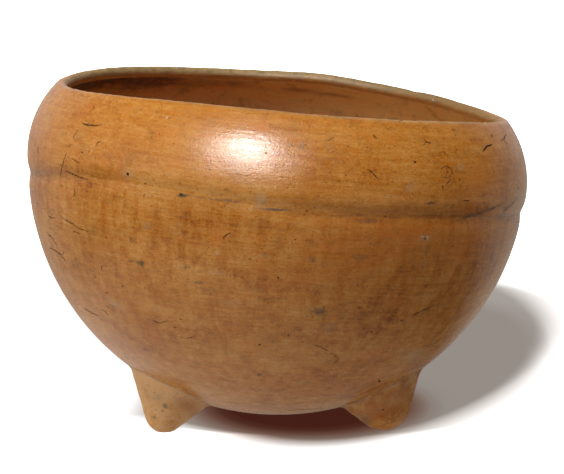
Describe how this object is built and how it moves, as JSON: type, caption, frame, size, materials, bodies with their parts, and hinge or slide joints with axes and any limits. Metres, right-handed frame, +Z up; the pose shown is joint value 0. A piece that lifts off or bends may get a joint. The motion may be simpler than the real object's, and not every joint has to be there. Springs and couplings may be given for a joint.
{
  "type": "tripod bowl",
  "caption": "Hand-built burnished clay bowl with a round belly, an incurving wall and small solid feet, for serving or holding food.",
  "frame": {"origin": "on the ground that the feet stand on, below the middle of the bowl", "axes": "+Z up; -Y towards the side seen in the picture; +X to the right there, which is the way the wall leans"},
  "size_m": [0.2039, 0.2036, 0.142],
  "materials": {
    "burnished_clay": "burnished satin",
    "wall_clay": "burnished satin",
    "worn_lip_clay": "worn matte",
    "foot_clay": "smoothed matte",
    "luting_clay": "smoothed matte"
  },
  "bodies": {
    "root": {"lower_bowl": "burnished_clay", "shoulder_wall": "wall_clay", "rim_coil": "worn_lip_clay", "foot_left": "foot_clay", "foot_right": "foot_clay", "foot_rear": "foot_clay", "luting_coil_left": "luting_clay", "luting_coil_right": "luting_clay", "luting_coil_rear": "luting_clay"}
  },
  "joints": []
}
